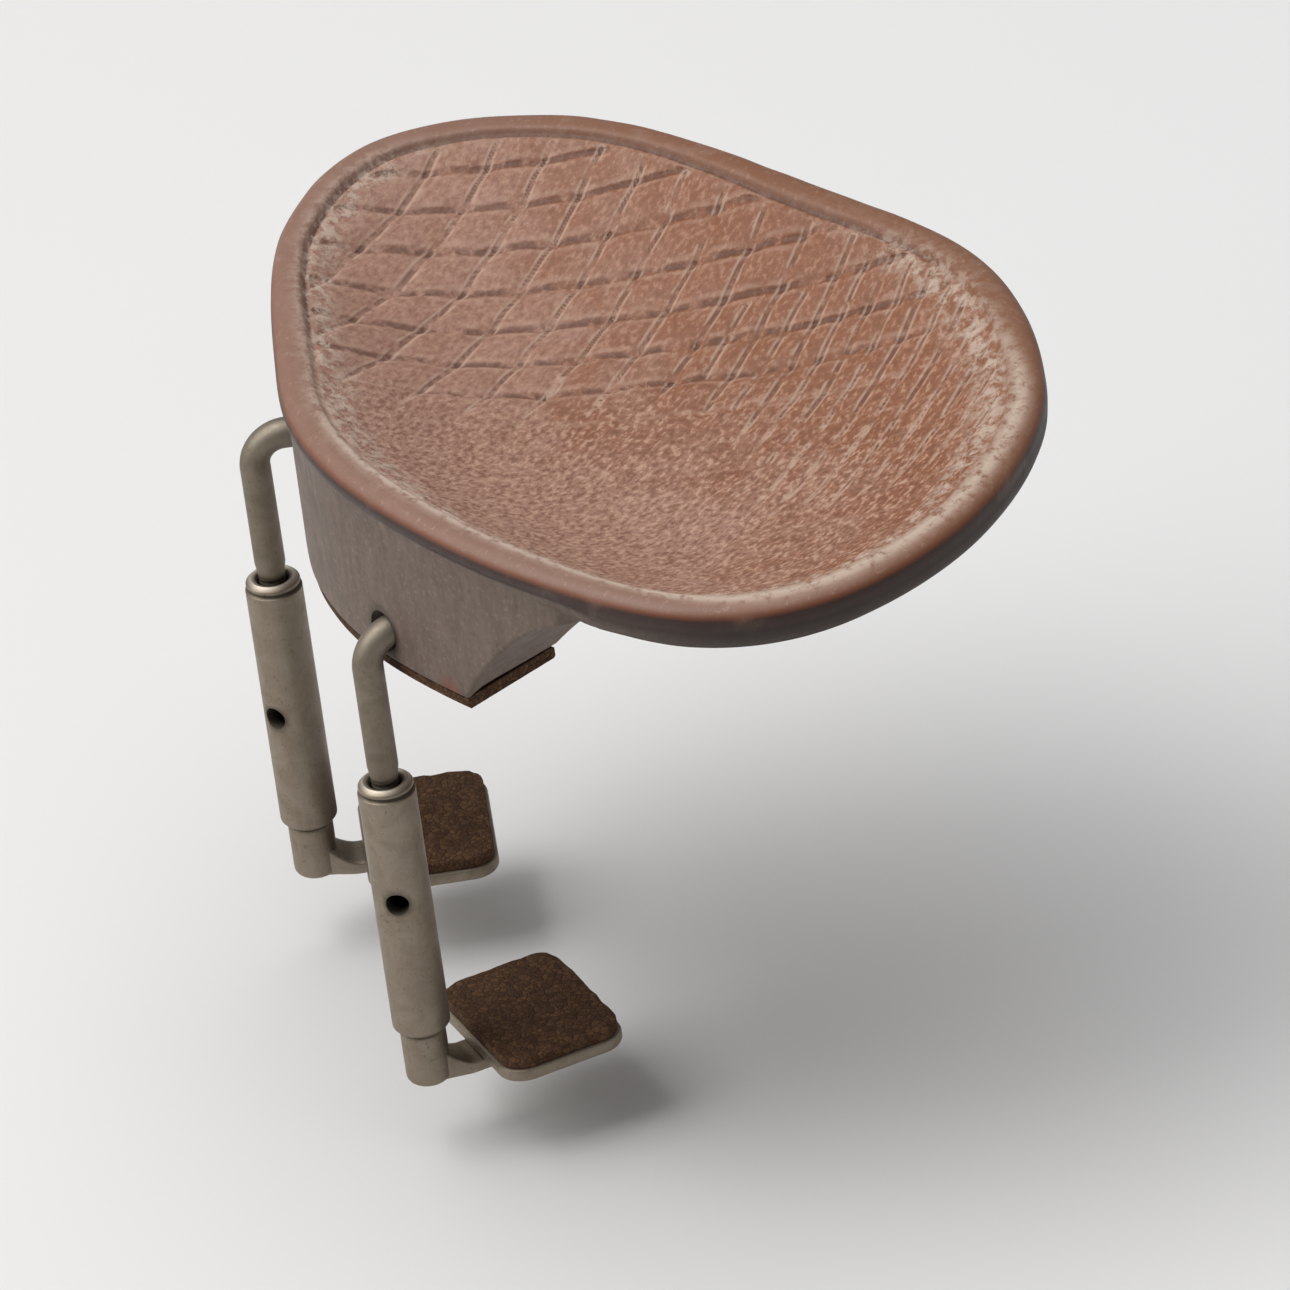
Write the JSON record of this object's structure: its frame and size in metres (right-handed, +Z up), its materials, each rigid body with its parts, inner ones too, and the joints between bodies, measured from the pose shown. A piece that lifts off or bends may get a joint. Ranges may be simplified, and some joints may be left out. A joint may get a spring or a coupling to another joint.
{
  "type": "violin chin rest",
  "caption": "Side-mounted violin chin rest: a moulded cup with a lattice-embossed dish on a curved stand, clamped over the instrument's edge by turnbuckle barrels with hooked, cork-lined feet.",
  "frame": {"origin": "on the underside of the stand's cork lining, where the chin rest sits on the violin's top, between the two clamps and 6.5 mm in from the violin's edge", "axes": "+Z up out of the violin's top, +Y towards the scroll, +X towards the treble side; the cup's long side lies along X"},
  "size_m": [0.0885, 0.0655, 0.0616],
  "materials": {
    "moulding": "matt brown moulded hard rubber with a pale bloom",
    "cork": "dark sheet cork",
    "nickel": "dull tarnished nickel plate"
  },
  "bodies": {
    "chin_rest": {"chin_plate": "moulding", "stand_cork": "cork", "upper_hook_right": "nickel", "upper_hook_left": "nickel"},
    "barrel_right": {"barrel_right": "nickel"},
    "foot_right": {"lower_hook_right": "nickel", "foot_plate_right": "nickel", "foot_rivet_right": "nickel", "foot_cork_right": "cork"},
    "barrel_left": {"barrel_left": "nickel"},
    "foot_left": {"lower_hook_left": "nickel", "foot_plate_left": "nickel", "foot_rivet_left": "nickel", "foot_cork_left": "cork"}
  },
  "joints": [
    {"name": "barrel_turn_right", "type": "hinge", "parent": "chin_rest", "child": "barrel_right", "pos_m": [0.01243, -0.01717, -0.02355], "axis": [0, 0, 1], "range_deg": [0, 2160]},
    {"name": "foot_slide_right", "type": "slide", "parent": "chin_rest", "child": "foot_right", "axis": [0, 0, -1], "range_m": [0, 0.006]},
    {"name": "barrel_turn_left", "type": "hinge", "parent": "chin_rest", "child": "barrel_left", "pos_m": [-0.02005, 0.00215, -0.02355], "axis": [0, 0, 1], "range_deg": [0, 2160]},
    {"name": "foot_slide_left", "type": "slide", "parent": "chin_rest", "child": "foot_left", "axis": [0, 0, -1], "range_m": [0, 0.006]}
  ],
  "couplings": [
    {"joint": "barrel_turn_right", "follows": "foot_slide_right", "rad_per_m": 6283.1},
    {"joint": "barrel_turn_left", "follows": "foot_slide_left", "rad_per_m": 6283.1}
  ]
}
